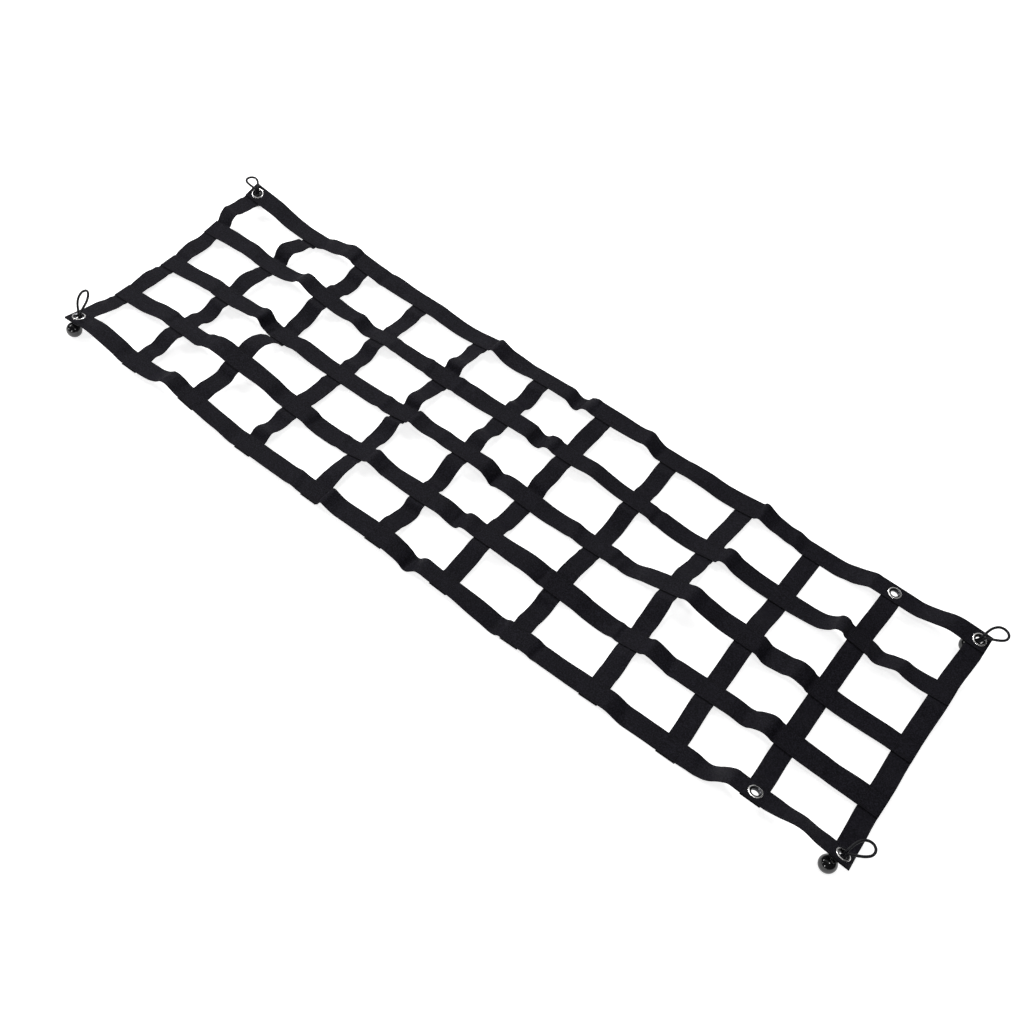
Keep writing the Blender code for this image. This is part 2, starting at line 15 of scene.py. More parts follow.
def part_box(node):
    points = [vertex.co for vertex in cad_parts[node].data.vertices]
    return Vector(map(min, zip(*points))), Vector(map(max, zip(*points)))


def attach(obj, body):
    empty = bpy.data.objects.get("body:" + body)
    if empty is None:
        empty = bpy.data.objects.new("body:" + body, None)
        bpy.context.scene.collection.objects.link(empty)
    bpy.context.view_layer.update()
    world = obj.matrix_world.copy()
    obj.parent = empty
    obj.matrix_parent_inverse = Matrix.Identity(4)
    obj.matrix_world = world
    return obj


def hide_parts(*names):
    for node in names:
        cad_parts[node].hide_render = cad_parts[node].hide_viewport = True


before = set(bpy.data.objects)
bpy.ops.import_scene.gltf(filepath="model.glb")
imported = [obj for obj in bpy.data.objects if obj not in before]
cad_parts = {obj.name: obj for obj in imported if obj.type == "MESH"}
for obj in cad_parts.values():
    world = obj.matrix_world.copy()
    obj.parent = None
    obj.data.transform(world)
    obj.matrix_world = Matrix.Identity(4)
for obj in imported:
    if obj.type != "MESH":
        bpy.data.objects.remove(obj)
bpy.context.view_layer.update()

MM = 0.001

# ---- sizes, as in the model's source -----------------------------------------------------------------
N_LONG = 5
N_CROSS = 12
WEBBING_THICKNESS = 1.5 * MM
CLEARANCE = 0.3 * MM

EYELET_HOLE_RADIUS = 6.0 * MM
EYELET_WALL = 0.6 * MM
EYELET_FLANGE_RADIUS = 12.0 * MM
EYELET_FIT = 0.45 * MM
WEBBING_HOLE_RADIUS = EYELET_HOLE_RADIUS + EYELET_WALL + EYELET_FIT

BALL_RADIUS = 14.0 * MM
BALL_MOUTH_RADIUS = 4.8 * MM
CORD_RADIUS = 2.0 * MM
CORD_SPACING = 2.2 * MM
CORD_STRAIGHT = 2.0 * MM
CORD_BELOW_SEAM = 1.0 * MM
CORD_ABOVE_SEAM = 2.0 * MM

# ---- how fine the cloth is ---------------------------------------------------------------------------
SECTION_STEP = 2.5 * MM      # along a strap
PATCH_MIN = 30.0 * MM        # a solid's run longer than this is the plane patch of a crossing
SECTION_GAP = 3.0 * MM       # a solid's sections are further apart than this
SECTION_SPREAD = 25.0 * MM   # and reach further across than this, unlike an eyelet's hole

FLOOR_CLEARANCE = 0.02 * MM
WAVE_HEIGHT = 0.45 * MM      # the selvages' slow ripple, off the patches
CUP_HEIGHT = 0.35 * MM       # and the middle's rise or dip between them
EASE = 3                     # sections over which a ripple comes in beside a patch
CUT_REACH = 1.6 * MM         # how far the melted look of a cut end goes
HOLE_SIDES = 48
PUNCH_DEPTH = 20.0 * MM      # through a strap, on both sides of its seam
MERGE_DISTANCE = 0.001 * MM

# A cut end is thinner: how far from it, and the thickness there as a share of the whole.
CUT_PROFILE = ((0, 0.55), (0.4 * MM, 0.9), (1.0 * MM, 1.0))
# The ripple's three waves: height, metres along the strap for one radian, and how much of the phase.
RIPPLE_WAVES = ((0.5, 0.023, 1.0), (0.3, 0.0117, 2.1), (0.2, 0.0071, 3.7))
# The corners of a square, in shares of half its side.
SQUARE = ((-1, -1), (1, -1), (1, 1), (-1, 1))

# Half of the webbing's outline, from one selvage to the other: share of the half width, and height as
# a share of half the thickness. A bead runs along each selvage, with a shallow groove beside it.
STRAP_FACE = (
    (-1.0, 0.40), (-0.985, 0.80), (-0.95, 1.0), (-0.915, 0.90), (-0.86, 0.94), (-0.45, 1.0), (0, 1.0),
    (0.45, 1.0), (0.86, 0.94), (0.915, 0.90), (0.95, 1.0), (0.985, 0.80), (1.0, 0.40),
)
STRAP_PROFILE = STRAP_FACE + tuple((share, -rise) for share, rise in reversed(STRAP_FACE))

# ---- creases -----------------------------------------------------------------------------------------
# The main creases of each long strap: place along the strap, height (a trough is below 0), half width,
# and how far the crease leans along the strap at its selvages, all in millimetres.
Crease = namedtuple("Crease", "place height width lean")
LONG_CREASES = {
    1: (
        Crease(-524, 1.6, 10, 2), Crease(-246, 2.2, 9, -2), Crease(-182, 2.0, 9, 3), Crease(-1, -3.0, 7, 1),
        Crease(22, 1.4, 12, -3), Crease(252, -2.6, 8, 2),
        Crease(415, -1.6, 14, -4), Crease(547, -1.8, 12, 3),
        Crease(710, 0.8, 14, -4),
    ),
    2: (
        Crease(-660, 1.8, 12, 3), Crease(-563, 1.8, 11, -2),
        Crease(-312, -2.4, 7, 2), Crease(-246, 2.4, 9, -1),
        Crease(-156, 1.8, 11, 4), Crease(8, -3.0, 7, -2), Crease(183, -2.2, 10, 3), Crease(325, 2.2, 9, 1),
        Crease(424, -2.2, 10, -3), Crease(593, 2.6, 13, 2), Crease(690, 1.4, 12, -3),
    ),
    3: (
        Crease(-660, 1.8, 12, -3), Crease(-522, -2.4, 7, 2),
        Crease(-249, 2.8, 9, 2), Crease(-184, 2.6, 8, -2),
        Crease(-120, 1.8, 14, 3), Crease(0, -3.0, 6, 1), Crease(163, 2.2, 11, -4), Crease(248, -2.4, 8, 2),
        Crease(386, 2.2, 12, 2), Crease(531, -2.4, 14, -3), Crease(580, 3.2, 12, 2),
    ),
    4: (
        Crease(-686, 1.5, 11, 2), Crease(-547, 2.2, 9, -2),
        Crease(-414, 2.2, 12, 3), Crease(-316, -1.8, 9, 2),
        Crease(-246, 2.2, 9, -2), Crease(-166, -1.6, 10, 3),
        Crease(-14, 2.2, 8, 1), Crease(10, -2.8, 8, -2),
        Crease(33, 2.0, 9, 2), Crease(250, -2.8, 8, -1), Crease(388, 3.0, 11, 2), Crease(596, 2.4, 12, -3),
        Crease(666, -3.2, 11, 2), Crease(702, 2.2, 10, 3),
    ),
    5: (
        Crease(-530, 1.8, 12, -3), Crease(-447, -2.0, 9, 2),
        Crease(-184, 1.8, 8, 2), Crease(-14, 2.2, 8, -1),
        Crease(10, -3.0, 8, 2), Crease(33, 2.2, 9, 3), Crease(154, 2.8, 11, -2), Crease(184, -2.2, 9, 2),
        Crease(379, 2.4, 8, 2), Crease(440, -1.6, 12, -3), Crease(560, 1.6, 12, 3),
    ),
}
# The cross straps lie over soft shoulders beside the crossings: place along a strap in millimetres, and
# the height of the shoulder there on each strap from 1 to 12.
CROSS_SHOULDERS = (
    (-191, (0.4, 1.8, 1.6, 1.8, 0.8, 2.2, 1.4, 2.0, 1.8, 0.6, 1.8, 0.6)),
    (-137, (2.0, 1.8, 2.0, 1.8, 2.0, 1.8, 0.6, 2.4, 0.8, 0.6, 0.4, 1.4)),
    (-82, (0.6, 2.0, 0.8, 1.6, 1.4, 2.2, 2.0, 1.4, 1.8, 0.6, 1.6, 0.6)),
    (-28, (2.2, 2.6, 2.4, 2.4, 1.6, 1.8, 2.4, 2.6, 2.4, 1.0, 0.8, 1.0)),
    (28, (1.2, 0.8, 1.8, 2.2, 0.8, 1.2, 1.0, 0.8, 1.4, 0.6, 1.4, 0.8)),
    (83, (0.8, 1.8, 2.2, 1.6, 2.2, 1.4, 0.8, 2.2, 2.4, 0.6, 0.8, 0.8)),
    (138, (0.6, 0.8, 2.4, 1.6, 1.2, 2.2, 0.8, 1.4, 1.4, 1.8, 0.6, 0.6)),
    (193, (2.2, 2.8, 1.4, 2.0, 1.8, 1.4, 1.6, 1.6, 1.6, 0.8, 1.2, 2.2)),
)
SHOULDER_WIDTH = 9           # mm
CREASE_DEPTH = 1.35          # what the tables' heights are multiplied by
SHOULDER_LEAN = (2, -3, 1, 3, -2, 2, -1, 3, -3, 2, -2, 1)    # mm, one for each cross strap

# ---- stitching ---------------------------------------------------------------------------------------
STITCH_BOX = 14.0 * MM       # half the side of the sewn square at a crossing
STITCH_PITCH = 3.3 * MM
STITCH_LENGTH = 2.7 * MM
THREAD_RADIUS = 0.27 * MM
THREAD_SIDES = 6
# A stitch's arch: share of its length, rise over the cloth and thickness, in thread radii.
STITCH_ARCH = ((0.14, 0.25, 0.85), (0.5, 0.55, 1.0), (0.86, 0.25, 0.85))
STITCH_DIP = 0.6             # how far its ends go into the cloth, in thread radii

# ---- metal, plastic and cord -------------------------------------------------------------------------
# An eyelet's section, radius and height in millimetres: from the barrel over the smooth upper flange,
# back under it, along the barrel's outside, over the washer below and round the barrel's rolled lip.
EYELET_SECTION = (
    (6.15, 0.8), (6.2, 1.6), (6.5, 2.0), (7.4, 2.35), (8.6, 2.8), (9.4, 3.0), (10.3, 2.9),
    (11.05, 2.6), (11.5, 2.2), (11.45, 1.75), (11.0, 1.66), (9.0, 1.66), (7.2, 1.66), (6.65, 1.3),
    (6.6, 0), (6.65, -1.3), (7.2, -1.66), (9.0, -1.66), (11.4, -1.66), (11.95, -1.8), (11.9, -2.15),
    (11.2, -2.45), (9.8, -2.62), (8.7, -2.62), (8.3, -2.7), (8.05, -3.1), (7.4, -3.34), (6.7, -3.25),
    (6.3, -2.8), (6.15, -2.0), (6.15, -0.6),
)
EYELET_SIDES = 96
BALL_SIDES = 96
BALL_LIP = 0.5 * MM          # rounding of the mouth's edge
BALL_RECESS = 3.0 * MM       # depth of the mouth
BALL_SEAM = 0.06 * MM        # height of the moulding line round the ball
BALL_SEAM_WIDTH = 0.25 * MM
BALL_SEAM_HEIGHT = 0.8 * MM  # the line's place above the ball's centre
BALL_SEAM_STEPS = (-1.5, -1, 1, 1.5)    # more points beside the line, in its half widths
# The mouth's rounded edge: degrees round it, and how far it stands above the ball's cut, in lips.
BALL_LIP_TURNS = (30, 60, 90)
BALL_LIP_RISE = 0.35
BALL_LIP_DROP = 0.5          # and how far its last point goes down, in lips
# The mouth inside: shares of its radius and of its depth.
BALL_MOUTH_SECTION = ((1, 1), (0.6, 1.15), (0, 1.2))
CORD_INSIDE = 2.4 * MM       # how far the strands go on inside the mouth
CORD_FINE_STEP = 0.39 * MM
CORD_SIDES = 32
BRAID_STRANDS = 8            # strands each way round the cord
BRAID_RELIEF = 0.18 * MM
BRAID_RADIUS = 2.12 * MM     # the cover stands a little proud of its solid
BRAID_MIDDLE = 0.75          # the relief, from 0 to 1, that lies at that radius

# ---- material sizes and colours ----------------------------------------------------------------------
CHEVRON_WIDTH = 4.4 * MM
PICK_PITCH = 1.7 * MM
YARN_PITCH = 0.8 * MM
WEBBING_DARK = (0.0023, 0.0020, 0.0033)
WEBBING_LIGHT = (0.0036, 0.0032, 0.0052)
WEBBING_RIB = (0.0180, 0.0169, 0.0245)
# The paler selvage colour is partly rubbing and partly a painted edge highlight; the side colour after it is
# painted shade.
WEBBING_WORN_AND_HIGHLIGHT = (0.028, 0.027, 0.035)
WEBBING_SIDE_SHADE = (0.0010, 0.0010, 0.0013)
WEBBING_MELTED = (0.004, 0.004, 0.005)
SHEEN_TINT = (0.80, 0.84, 1.0)
THREAD_DARK = (0.003, 0.003, 0.004)
THREAD_LIGHT = (0.009, 0.009, 0.012)
NICKEL_BRIGHT = (0.90, 0.89, 0.88)
NICKEL_RUBBED = (0.74, 0.73, 0.72)
# Painted shade: the dark colour inside the eyelets' flanges stands in for their shade and the dark things
# they reflect.
NICKEL_INNER_SHADE = (0.035, 0.035, 0.038)
INNER_SHADE_EDGE = (0.77, 0.82)  # where the painted shade ends, in flange radii
PLASTIC_DARK = (0.0045, 0.0045, 0.0052)
PLASTIC_LIGHT = (0.0085, 0.0085, 0.0095)
# The darker cord colour is painted shade in the braid's hollows.
CORD_HOLLOW_SHADE = (0.002, 0.002, 0.003)
CORD_LIGHT = (0.008, 0.008, 0.011)
CORD_FLECK = (0.018, 0.018, 0.023)
FLOOR_DARK = (0.86, 0.86, 0.86)
FLOOR_LIGHT = (0.90, 0.90, 0.90)
WHITE = (1, 1, 1)
WEAVE_DEPTH = 0.00016        # fine relief that only the shading shows, in metres
THREAD_DEPTH = 0.00008
POLISH_DEPTH = 0.00001

FLOOR_GLOW = 0.77
FLOOR_DROP = -0.1 * MM
FLOOR_HALF = 6.0             # half the floor's side

# ---- ball bungees ------------------------------------------------------------------------------------
# Each bungee: how far off the eyelet's axis its strands bear on the hole's edge, the heading of its
# loop (degrees from +X), the loop's reach and width, in millimetres, and its shape.
Bungee = namedtuple("Bungee", "corner bearing heading reach width shape")
BUNGEES = (
    Bungee("near_left", 2.7, 80, 27, 22, "standing"),
    Bungee("far_left", 1.0, 157, 39, 20, "lying"),
    Bungee("near_right", 2.6, 49, 45, 23, "lying"),
    Bungee("far_right", 2.4, 47, 45, 24, "lying"),
)
OPEN_EYELETS = ("open_near", "open_far")

# Half of a loop from the eyelet's centre: how far along the heading as a share of its reach, how far
# to the side as a share of its half width, and height in millimetres. The other half mirrors it.
LoopPoint = namedtuple("LoopPoint", "along aside height")
LOOP_SHAPES = {
    "lying": (
        LoopPoint(0.12, 0.22, 8.7),
        LoopPoint(0.22, 0.42, 10.5),
        LoopPoint(0.38, 0.74, 12.3),
        LoopPoint(0.57, 0.96, 12.6),
        LoopPoint(0.76, 0.98, 12.2),
        LoopPoint(0.90, 0.74, 11.6),
        LoopPoint(0.98, 0.37, 11.1),
        LoopPoint(1.00, 0, 11),
    ),
    "standing": (
        LoopPoint(0.11, 0.26, 9),
        LoopPoint(0.20, 0.58, 18),
        LoopPoint(0.35, 0.88, 27),
        LoopPoint(0.58, 1.00, 35.5),
        LoopPoint(0.80, 0.80, 42),
        LoopPoint(0.95, 0.42, 45.8),
        LoopPoint(1.00, 0, 47),
    ),
}

# ---- camera and lights -------------------------------------------------------------------------------
CAMERA_AIM = Vector((0.0576, -0.0370, 0.0))    # the point on the floor in the middle of the view
CAMERA_DISTANCE = 2.0075
CAMERA_YAW = math.radians(-31.265)             # heading from +Y, + towards +X
CAMERA_PITCH = math.radians(53.618)            # below the horizon
CAMERA_ROLL = math.radians(7.829)
CAMERA_LENS = 42.618
SENSOR_WIDTH = 36.0

# Studio lights round the net: place in metres, side in metres and power in watts.
Lamp = namedtuple("Lamp", "name place side power")
LAMPS = (
    Lamp("softbox_back_left", (-1.95, 1.95, 2.76), 0.90, 64),
    Lamp("softbox_left", (-2.12, 0, 2.12), 0.50, 9),
    Lamp("softbox_back", (0, 1.03, 2.82), 0.50, 11),
    Lamp("softbox_front", (0, -2.85, 0.93), 0.38, 14),
    Lamp("softbox_front_left", (-2.40, -2.40, 1.11), 0.46, 14),
    Lamp("softbox_far_left", (-2.45, -0.80, 1.75), 0.45, 11),
    Lamp("lamp_right", (1.08, -0.60, 1.93), 0.24, 4.5),
)
# The bright part of the studio's ceiling: the way to its middle, and its strength there and elsewhere.
CEILING_WAY = (-0.35, 0.50, 0.79)
CEILING_BRIGHT = 0.5
CEILING_DIM = 0.05
CEILING_EDGE = (0.50, 0.95)  # cosines of the angles from its middle where it begins and is at its full


# ---- camera ------------------------------------------------------------------------------------------
def make_camera():
    """The camera, placed back from the point that it looks at."""
    forward = Vector((math.sin(CAMERA_YAW) * math.cos(CAMERA_PITCH),
                      math.cos(CAMERA_YAW) * math.cos(CAMERA_PITCH), -math.sin(CAMERA_PITCH)))
    level = Vector((math.cos(CAMERA_YAW), -math.sin(CAMERA_YAW), 0))
    upright = level.cross(forward)
    right = math.cos(CAMERA_ROLL) * level + math.sin(CAMERA_ROLL) * upright
    top = -math.sin(CAMERA_ROLL) * level + math.cos(CAMERA_ROLL) * upright
    data = bpy.data.cameras.new("camera")
    data.lens = CAMERA_LENS
    data.sensor_width = SENSOR_WIDTH
    camera = bpy.data.objects.new("camera", data)
    camera.matrix_world = (Matrix.Translation(CAMERA_AIM - forward * CAMERA_DISTANCE)
                           @ Matrix((right, top, -forward)).transposed().to_4x4())
    bpy.context.scene.collection.objects.link(camera)
    bpy.context.scene.camera = camera


# ---- reading the solids ------------------------------------------------------------------------------
def points_of(node):
    """The distinct points of a solid, as an array."""
    return np.unique(np.round([vert.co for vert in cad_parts[node].data.vertices], 6), axis=0)


def eyelet_place(corner):
    """Centre and axis of an eyelet, from its solid: the axis is the way in which it is thinnest."""
    points = points_of(f"eyelet_{corner}")
    centre = points.mean(axis=0)
    axis = np.linalg.eigh(np.cov((points - centre).T))[1][:, 0]
    return Vector(centre), Vector(axis * np.sign(axis[2]))


def ball_centre(corner):
    """Centre of the sphere through a ball's points, leaving out the middle of its flat mouth."""
    points = points_of(f"ball_{corner}")
    for _ in range(2):
        rows = np.column_stack([2 * points, np.ones(len(points))])
        answer = np.linalg.lstsq(rows, (points**2).sum(axis=1), rcond=None)[0]
        misfit = abs(np.linalg.norm(points - answer[:3], axis=1) - BALL_RADIUS)
        points = points[misfit < misfit.max()]
    return Vector(answer[:3])


# ---- meshes ------------------------------------------------------------------------------------------
def new_mesh_object(name, points, faces, material, smooth=True):
    """An object in the scene with a new mesh and one material."""
    mesh = bpy.data.meshes.new(name)
    mesh.from_pydata([tuple(point) for point in points], [], [tuple(face) for face in faces])
    mesh.materials.append(material)
    if smooth:
        mesh.shade_smooth()
    piece = bpy.data.objects.new(name, mesh)
    bpy.context.scene.collection.objects.link(piece)
    return piece


def grid_faces(n_rows, n_columns, close_rows=False):
    """Quads between rows of points. Each row is a closed ring of n_columns points."""
    faces = []
    for row in range(n_rows if close_rows else n_rows - 1):
        below = row * n_columns
        above = (row + 1) % n_rows * n_columns
        for column in range(n_columns):
            beside = (column + 1) % n_columns
            faces.append((below + column, below + beside, above + beside, above + column))
    return faces


def add_uv(piece, name, values):
    """Give a mesh a UV map from one pair of numbers for each of its points."""
    mesh = piece.data
    corners = np.empty(len(mesh.loops), dtype=np.int32)
    mesh.loops.foreach_get("vertex_index", corners)
    layer = mesh.uv_layers.new(name=name)
    layer.data.foreach_set("uv", np.asarray(values, dtype=np.float32)[corners].ravel())


def curve_point(before, start, end, after, t):
    """A point between start and end, by a share from 0 to 1, on the smooth curve through all four."""
    return 0.5 * (2 * start + t * (end - before) + t**2 * (2 * before - 5 * start + 4 * end - after)
                  + t**3 * (3 * start - before - 3 * end + after))


def along_curve(points, step):
    """Points about a step apart on a smooth curve through the given ones."""
    out = []
    last = len(points) - 1
    for i in range(last):
        start, end = points[i], points[i + 1]
        before, after = points[max(i - 1, 0)], points[min(i + 2, last)]
        pieces = max(1, round((end - start).length / step))
        for k in range(pieces):
            out.append(curve_point(before, start, end, after, k / pieces))
    out.append(points[-1])
    return out


# ---- materials ---------------------------------------------------------------------------------------
RANGE_SOCKETS = ("From Min", "From Max", "To Min", "To Max")


class Nodes:
    """A material's node tree, with short ways to add maths, noise and colour ramps."""

    def __init__(self, name):
        self.material = bpy.data.materials.new(name)
        self.material.use_nodes = True
        self.tree = self.material.node_tree
        self.shader = self.tree.nodes["Principled BSDF"]

    def add(self, kind, **settings):
        node = self.tree.nodes.new(kind)
        for key, value in settings.items():
            setattr(node, key, value)
        return node

    def link(self, source, target):
        self.tree.links.new(source, target)

    def maths(self, operation, first, second=None):
        node = self.add("ShaderNodeMath", operation=operation)
        for socket, value in zip(node.inputs, (first, second)):
            if isinstance(value, bpy.types.NodeSocket):
                self.link(value, socket)
            elif value is not None:
                socket.default_value = value
        return node.outputs[0]

    def wave(self, length, period):
        """A sine along a length, from -1 to 1."""
        return self.maths("SINE", self.maths("MULTIPLY", length, 2 * math.pi / period))

    def uv(self, name):
        split = self.add("ShaderNodeSeparateXYZ")
        self.link(self.add("ShaderNodeUVMap", uv_map=name).outputs["UV"], split.inputs[0])
        return split.outputs["X"], split.outputs["Y"]

    def noise(self, scale, detail=3.0):
        node = self.add("ShaderNodeTexNoise")
        node.inputs["Scale"].default_value = scale
        node.inputs["Detail"].default_value = detail
        self.link(self.add("ShaderNodeTexCoord").outputs["Object"], node.inputs["Vector"])
        return node.outputs["Fac"]

    def between(self, value, low, high, out_low, out_high):
        """Move a value from one range to another, and keep it inside the new one."""
        node = self.add("ShaderNodeMapRange")
        self.link(value, node.inputs["Value"])
        for name, number in zip(RANGE_SOCKETS, (low, high, out_low, out_high)):
            node.inputs[name].default_value = number
        return node.outputs["Result"]

    def blend(self, share, dark, light):
        """A colour between two, by a share from 0 to 1."""
        node = self.add("ShaderNodeMix", data_type="RGBA")
        self.link(share, node.inputs["Factor"])
        for socket, colour in ((node.inputs[6], dark), (node.inputs[7], light)):
            if isinstance(colour, bpy.types.NodeSocket):
                self.link(colour, socket)
            else:
                socket.default_value = (*colour, 1)
        return node.outputs[2]

    def bump(self, height, distance, strength=1.0):
        node = self.add("ShaderNodeBump")
        node.inputs["Distance"].default_value = distance
        node.inputs["Strength"].default_value = strength
        self.link(height, node.inputs["Height"])
        self.link(node.outputs["Normal"], self.shader.inputs["Normal"])

    def plain(self, **values):
        for name, value in values.items():
            self.shader.inputs[name.replace("_", " ")].default_value = value


def webbing_material():
    """Black polyester webbing: a fine chevron weave, a little dust, paler selvages from rubbing with a
    painted edge highlight in them, and painted shade on the selvages' edges and sides.
    """
    m = Nodes("webbing")
    across, along = m.uv("cloth")
    edge, cut = m.uv("wear")
    chevron = m.maths("PINGPONG", across, CHEVRON_WIDTH)
    picks = m.wave(m.maths("ADD", along, chevron), PICK_PITCH)
    ends = m.wave(across, YARN_PITCH)
    weave = m.maths("ADD", m.maths("MULTIPLY", picks, 0.65), m.maths("MULTIPLY", ends, 0.35))
    fuzz = m.noise(1600)
    m.bump(m.maths("ADD", weave, m.maths("MULTIPLY", fuzz, 0.8)), WEAVE_DEPTH, 0.55)
    patches = m.between(m.noise(22, 4), 0.3, 0.7, 0, 1)
    cloth = m.blend(patches, WEBBING_DARK, WEBBING_LIGHT)
    grain = m.maths("ADD", m.maths("MULTIPLY", weave, 0.5), m.maths("MULTIPLY", m.noise(480, 2), 3.6))
    cloth = m.blend(m.between(grain, 1.4, 2.6, 0, 0.95), cloth, WEBBING_RIB)
    # Painted highlight and rubbing: a patchy paler band on top near each selvage, which stands in for the
    # light that the edge catches as well as for rubbing.
    rubbed_and_highlit = m.between(edge, 0.90, 0.95, 0, 0.35)
    worn_and_highlit = m.maths("MULTIPLY", rubbed_and_highlit, m.between(m.noise(420), 0.40, 0.62, 0, 1))
    cloth = m.blend(worn_and_highlit, cloth, WEBBING_WORN_AND_HIGHLIGHT)
    # Painted shade: the selvages' rounded edges and side faces are coloured darker.
    cloth = m.blend(m.between(edge, 0.935, 0.965, 0, 0.9), cloth, WEBBING_SIDE_SHADE)
    m.link(m.blend(m.between(cut, 0.2, 0.9, 0, 0.8), cloth, WEBBING_MELTED), m.shader.inputs["Base Color"])
    rough = m.maths("SUBTRACT", m.between(weave, -1, 1, 0.74, 0.58), m.between(cut, 0.2, 0.9, 0, 0.25))
    m.link(rough, m.shader.inputs["Roughness"])
    m.plain(Specular_IOR_Level=0.09, Sheen_Weight=0.01, Sheen_Roughness=0.45)
    m.shader.inputs["Sheen Tint"].default_value = (*SHEEN_TINT, 1)
    return m.material


def thread_material():
    """Black bonded thread, smoother than the webbing, with the twist of its plies."""
    m = Nodes("thread")
    fleck = m.noise(900)
    m.link(m.blend(m.between(fleck, 0.35, 0.65, 0, 1), THREAD_DARK, THREAD_LIGHT),
           m.shader.inputs["Base Color"])
    m.link(m.between(fleck, 0.3, 0.7, 0.42, 0.56), m.shader.inputs["Roughness"])
    m.bump(m.noise(2600, 2), THREAD_DEPTH, 0.6)
    m.plain(Specular_IOR_Level=0.18)
    return m.material


def nickel_material():
    """Nickel plate: bright on the rim, with fine rubbing marks, and painted shade that darkens it inside."""
    m = Nodes("nickel")
    haze = m.noise(160, 5)
    from_axis, _ = m.uv("wear")
    plate = m.blend(m.between(haze, 0.35, 0.7, 0, 1), NICKEL_BRIGHT, NICKEL_RUBBED)
    # Painted shade: the flange's inner part and the barrel are coloured dark, for their shade and the dark
    # things they reflect.
    uneven = m.maths("ADD", from_axis, m.between(m.noise(500), 0.3, 0.7, -0.008, 0.008))
    m.link(m.blend(m.between(uneven, *INNER_SHADE_EDGE, 1, 0), plate, NICKEL_INNER_SHADE),
           m.shader.inputs["Base Color"])
    m.link(m.between(haze, 0.3, 0.75, 0.20, 0.32), m.shader.inputs["Roughness"])
    m.bump(m.noise(1400, 4), POLISH_DEPTH, 0.2)
    m.plain(Metallic=1.0)
    return m.material


def gloss_material():
    """Glossy black moulded plastic with light handling marks."""
    m = Nodes("gloss_plastic")
    haze = m.noise(120, 5)
    m.link(m.blend(m.between(haze, 0.35, 0.7, 0, 1), PLASTIC_DARK, PLASTIC_LIGHT),
           m.shader.inputs["Base Color"])
    m.link(m.between(haze, 0.35, 0.75, 0.05, 0.12), m.shader.inputs["Roughness"])
    m.bump(m.noise(420, 3), POLISH_DEPTH, 0.2)
    m.plain(Specular_IOR_Level=0.60)
    return m.material


def bungee_material():
    """The braided cover of a black bungee cord. The strands' relief is in the mesh; painted shade darkens
    the hollows between them.
    """
    m = Nodes("bungee_cord")
    strand, _ = m.uv("cloth")
    fleck = m.noise(1300)
    # Painted shade: darker in the braid's hollows than on its crowns.
    cloth = m.blend(m.between(strand, 0.2, 1, 0, 1), CORD_HOLLOW_SHADE, CORD_LIGHT)
    m.link(m.blend(m.between(fleck, 0.5, 0.75, 0, 0.6), cloth, CORD_FLECK),
           m.shader.inputs["Base Color"])
    m.link(m.between(fleck, 0.3, 0.7, 0.60, 0.46), m.shader.inputs["Roughness"])
    m.bump(m.noise(2400, 2), THREAD_DEPTH, 0.5)
    m.plain(Specular_IOR_Level=0.2, Sheen_Weight=0.03)
    return m.material


def floor_material():
    """A pale, evenly lit studio table: a little of its light comes from under its surface."""
    m = Nodes("floor")
    grain = m.noise(3, 4)
    m.link(m.blend(m.between(grain, 0.3, 0.7, 0, 1), FLOOR_DARK, FLOOR_LIGHT),
           m.shader.inputs["Base Color"])
    m.plain(Roughness=0.9, Specular_IOR_Level=0.0, Emission_Strength=FLOOR_GLOW)
    m.shader.inputs["Emission Color"].default_value = (*WHITE, 1)
    return m.material


# ---- straps ------------------------------------------------------------------------------------------
def strap_sections(node, along, across):
    """A strap's two edges at mid thickness, section by section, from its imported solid."""
    points = points_of(node)
    points = points[np.argsort(points[:, along])]
    breaks = np.nonzero(np.diff(points[:, along]) > SECTION_GAP)[0] + 1
    sections = []
    for group in np.split(points, breaks):
        if np.ptp(group[:, across]) < SECTION_SPREAD:
            continue
        middle = group[:, across].mean()
        sides = [group[group[:, across] < middle], group[group[:, across] > middle]]
        if min(len(side) for side in sides) < 2:    # a corner lost in packing
            continue
        sections.append([(side[side[:, 2].argmin()] + side[side[:, 2].argmax()]) / 2 for side in sides])
    return np.array(sections)


def fine_sections(edges):
    """Sections about SECTION_STEP apart on smooth edges. Returns them and where the patches are."""
    lengths = np.linalg.norm(np.diff(edges.mean(axis=1), axis=0), axis=1)
    chords = np.diff(edges, axis=0) / lengths[:, None, None]
    plane = lengths > PATCH_MIN
    slopes = np.empty_like(edges)
    slopes[0], slopes[-1] = chords[0], chords[-1]
    for k in range(1, len(edges) - 1):
        if plane[k - 1] or plane[k]:
            slopes[k] = chords[k - 1] if plane[k - 1] else chords[k]
        else:
            weighted = chords[k - 1] * lengths[k] + chords[k] * lengths[k - 1]
            slopes[k] = weighted / (lengths[k - 1] + lengths[k])
    out, slack = [], []
    for k, length in enumerate(lengths):
        pieces = max(1, round(length / SECTION_STEP))
        for t in np.arange(pieces) / pieces:
            out.append(edges[k] * (1 + t * t * (2 * t - 3)) + edges[k + 1] * t * t * (3 - 2 * t)
                       + length * (slopes[k] * t * (1 - t)**2 + slopes[k + 1] * t * t * (t - 1)))
            slack.append(not plane[k])
    out.append(edges[-1])
    slack.append(False)
    patches = [edges[k:k + 2] for k in range(len(lengths)) if plane[k]]
    return np.array(out), smoothed(np.array(slack, dtype=float)), patches


def smoothed(values):
    """Values eased over a few sections, so that a change comes in softly, and nothing on the patches."""
    window = 2 * EASE + 1
    eased = np.convolve(np.pad(values, EASE, mode="edge"), np.ones(window) / window, "valid")
    return np.clip(2 * eased - 1, 0, 1)


